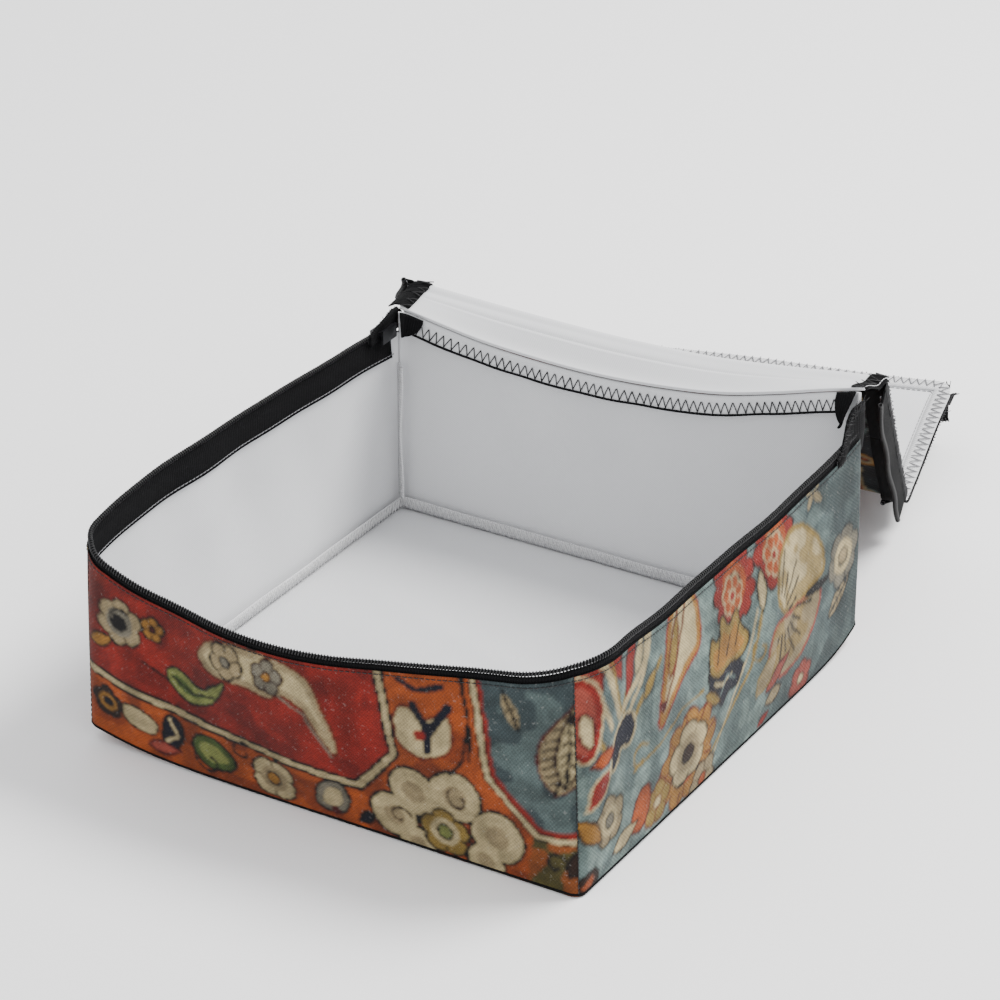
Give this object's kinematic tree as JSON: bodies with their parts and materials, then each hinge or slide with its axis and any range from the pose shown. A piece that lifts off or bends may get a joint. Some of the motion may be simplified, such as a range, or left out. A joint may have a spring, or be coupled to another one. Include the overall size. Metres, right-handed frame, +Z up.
{
  "type": "packing cube",
  "caption": "Soft rectangular zip-around packing cube with a fold-back cloth lid, sewn walls, coil zip on rim and lid, and a sliding pull.",
  "frame": {"origin": "centre of the base's underside, on the table", "axes": "+X to the right along the front wall, +Y back towards the lid hinge, +Z up"},
  "size_m": [0.2942, 0.4515, 0.1215],
  "materials": {
    "red_print": "printed woven polyester",
    "blue_print": "printed woven polyester",
    "white_cloth": "unprinted reverse of the cloth",
    "black_tape": "woven zip tape",
    "coil_black": "nylon zip coil",
    "slider_black": "black painted die-cast slider"
  },
  "bodies": {
    "case": {"base_panel": "red_print", "front_wall": "red_print", "right_wall": "blue_print", "back_wall": "blue_print", "left_wall": "red_print", "base_seam_binding": "black_tape", "corner_seam_front_left": "white_cloth", "corner_seam_front_right": "white_cloth", "corner_seam_back_right": "white_cloth", "corner_seam_back_left": "white_cloth", "rim_tape": "black_tape", "rim_coil": "coil_black", "hinge_seam_allowance": "white_cloth", "zip_end_left": "black_tape", "zip_end_right": "black_tape"},
    "lid_rear": {"lid_panel_a": "blue_print", "lid_seam_left_a": "white_cloth", "lid_seam_right_a": "white_cloth"},
    "lid_middle": {"lid_panel_b": "blue_print", "lid_seam_left_b": "white_cloth", "lid_seam_right_b": "white_cloth"},
    "lid_front": {"lid_panel_c": "blue_print", "lid_seam_front_c": "white_cloth"},
    "zip_band_left_middle": {"lid_tape_left_b": "black_tape", "lid_coil_left_b": "coil_black"},
    "zip_band_right_middle": {"lid_tape_right_b": "black_tape", "lid_coil_right_b": "coil_black"},
    "zip_band_left_front": {"lid_tape_left_c": "black_tape", "lid_coil_left_c": "coil_black"},
    "zip_band_right_front": {"lid_tape_right_c": "black_tape", "lid_coil_right_c": "coil_black"},
    "zip_band_front": {"lid_tape_front_c": "black_tape", "lid_coil_front_c": "coil_black"},
    "slider": {"slider_body": "slider_black", "slider_bridge": "slider_black"},
    "pull": {"pull_tab": "slider_black"}
  },
  "joints": [
    {"name": "lid_hinge", "type": "hinge", "parent": "case", "child": "lid_rear", "pos_m": [0, 0.1274, 0.118], "axis": [1, 0, 0], "range_deg": [0, 175]},
    {"name": "lid_fold_rear", "type": "hinge", "parent": "lid_rear", "child": "lid_middle", "pos_m": [0.1201, 0.14932, 0.11992], "axis": [0.9789, -0.0781, -0.1886], "range_deg": [0, 56.02]},
    {"name": "lid_fold_front", "type": "hinge", "parent": "lid_middle", "child": "lid_front", "pos_m": [0.09322, 0.23819, 0.014], "axis": [-1, 0, 0], "range_deg": [0, 59.01]},
    {"name": "zip_flap_left_middle", "type": "hinge", "parent": "lid_middle", "child": "zip_band_left_middle", "pos_m": [-0.14165, 0.19559, 0.06477], "axis": [-0.1908, 0.631, -0.752], "range_deg": [0, 100.01]},
    {"name": "zip_flap_right_middle", "type": "hinge", "parent": "lid_middle", "child": "zip_band_right_middle", "pos_m": [0.10894, 0.19633, 0.06389], "axis": [0.1908, -0.631, 0.752], "range_deg": [0, 172.01]},
    {"name": "zip_flap_left_front", "type": "hinge", "parent": "lid_front", "child": "zip_band_left_front", "pos_m": [-0.1566, 0.24871, 0.01566], "axis": [-0.1908, 0.9695, 0.1536], "range_deg": [0, 215.01]},
    {"name": "zip_flap_right_front", "type": "hinge", "parent": "lid_front", "child": "zip_band_right_front", "pos_m": [0.08953, 0.27247, 0.01943], "axis": [0.1908, -0.9695, -0.1536], "range_deg": [0, 245.01]},
    {"name": "zip_flap_front", "type": "hinge", "parent": "lid_front", "child": "zip_band_front", "pos_m": [-0.04197, 0.30344, 0.02433], "axis": [0.9816, 0.1885, 0.0298], "range_deg": [0, 190.01]},
    {"name": "slider_travel", "type": "slide", "parent": "case", "child": "slider", "axis": [0, -1, 0], "range_m": [0, 0.2]},
    {"name": "pull_swivel", "type": "hinge", "parent": "slider", "child": "pull", "pos_m": [-0.1274, 0.115, 0.0996], "axis": [0, 0, 1], "range_deg": [0, 180]}
  ],
  "couplings": [
    {"joint": "lid_fold_rear", "follows": "lid_hinge", "ratio": 0.32003},
    {"joint": "lid_fold_front", "follows": "lid_hinge", "ratio": 0.33714},
    {"joint": "zip_flap_left_middle", "follows": "lid_hinge", "ratio": 0.57143},
    {"joint": "zip_flap_right_middle", "follows": "lid_hinge", "ratio": 0.98286},
    {"joint": "zip_flap_left_front", "follows": "lid_hinge", "ratio": 1.2286},
    {"joint": "zip_flap_right_front", "follows": "lid_hinge", "ratio": 1.4},
    {"joint": "zip_flap_front", "follows": "lid_hinge", "ratio": 1.0857}
  ]
}
